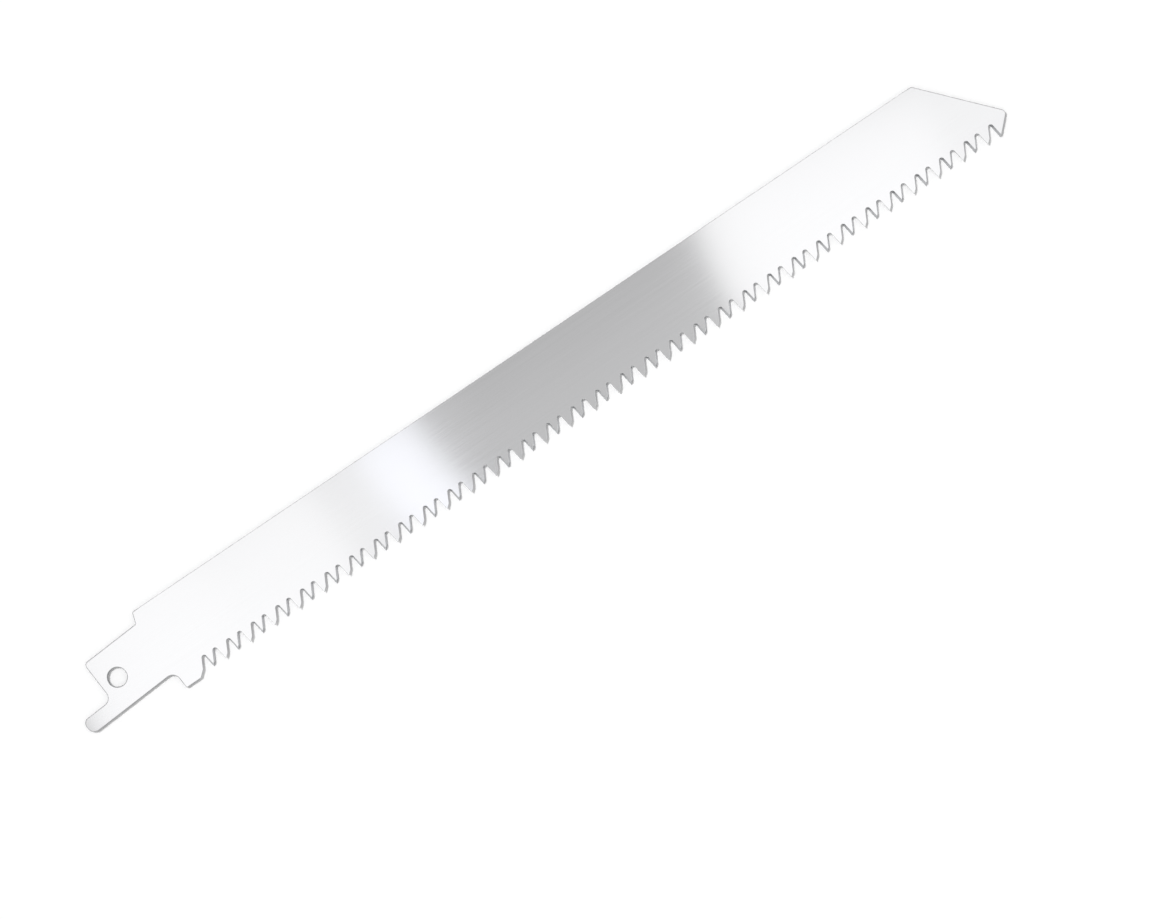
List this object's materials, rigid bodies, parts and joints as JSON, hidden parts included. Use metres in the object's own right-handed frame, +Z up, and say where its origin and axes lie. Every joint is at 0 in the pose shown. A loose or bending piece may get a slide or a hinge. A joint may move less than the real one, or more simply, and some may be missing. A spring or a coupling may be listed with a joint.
{
  "type": "reciprocating saw blade",
  "caption": "Straight stainless steel blade for a reciprocating saw, with a canted tang, pin hole, side leg, sloped nose and alternately ground teeth.",
  "frame": {"origin": "centre of the pin hole at the underside of the sheet", "axes": "+X along the body from the tang to the nose, +Y to the plain back edge with the teeth pointing to -Y, +Z up through the sheet"},
  "size_m": [0.225, 0.019, 0.001],
  "materials": {
    "blade_steel": "bright rolled stainless steel, finely polished along its length, with freshly ground teeth"
  },
  "bodies": {
    "root": {"blade": "blade_steel"}
  },
  "joints": []
}
